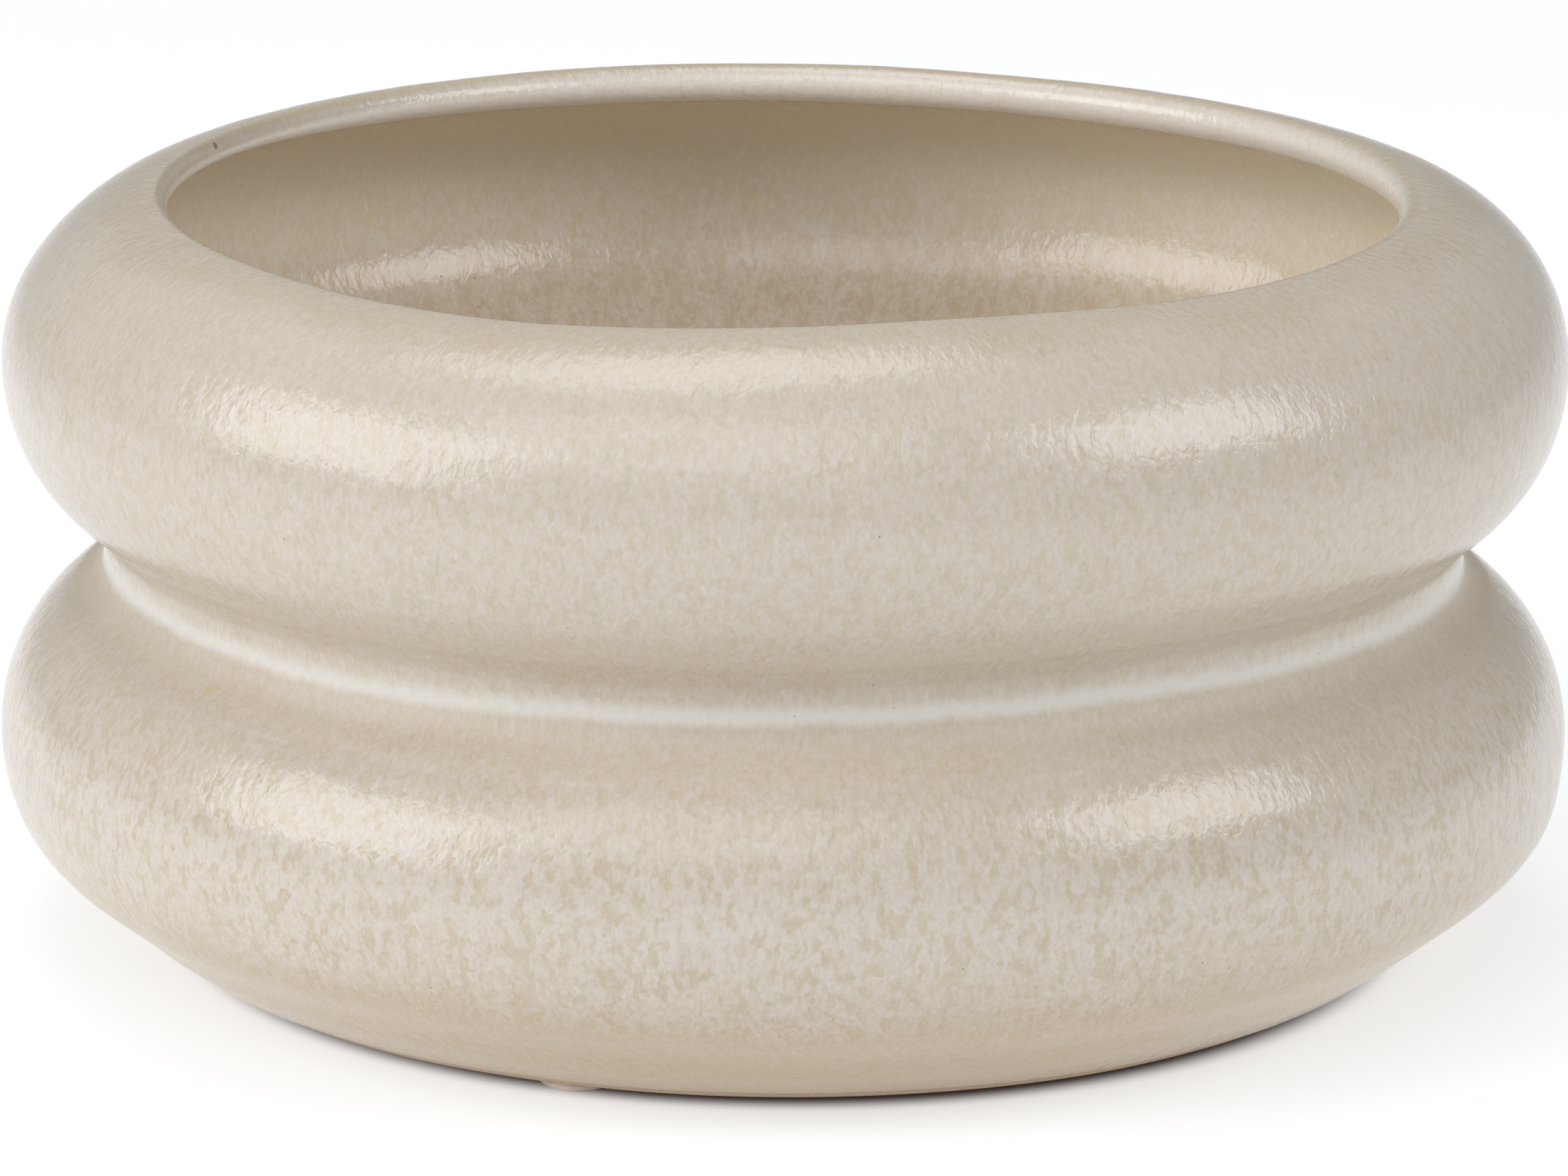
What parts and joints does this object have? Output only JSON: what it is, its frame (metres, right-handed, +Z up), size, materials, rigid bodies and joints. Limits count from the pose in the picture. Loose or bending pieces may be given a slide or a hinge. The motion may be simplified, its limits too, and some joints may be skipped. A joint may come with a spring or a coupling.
{
  "type": "bonsai pot",
  "caption": "Round bonsai pot or planter of two stacked hollow rings with a folded lip, a central drain hole and stick-on foot pads.",
  "frame": {"origin": "on the pot's axis, on the table under the three foot pads", "axes": "+Z up along the pot's axis, out of its mouth; -Y is the front, where the first pad stands 20 degrees to the left"},
  "size_m": [0.2048, 0.2048, 0.099],
  "materials": {
    "glazed_stoneware": "satin reactive glaze, warm tan breaking to a whitish mottle",
    "silicone_pad": "smooth, slightly translucent"
  },
  "bodies": {
    "root": {"pot_body": "glazed_stoneware", "foot_pad_1": "silicone_pad", "foot_pad_2": "silicone_pad", "foot_pad_3": "silicone_pad"}
  },
  "joints": []
}
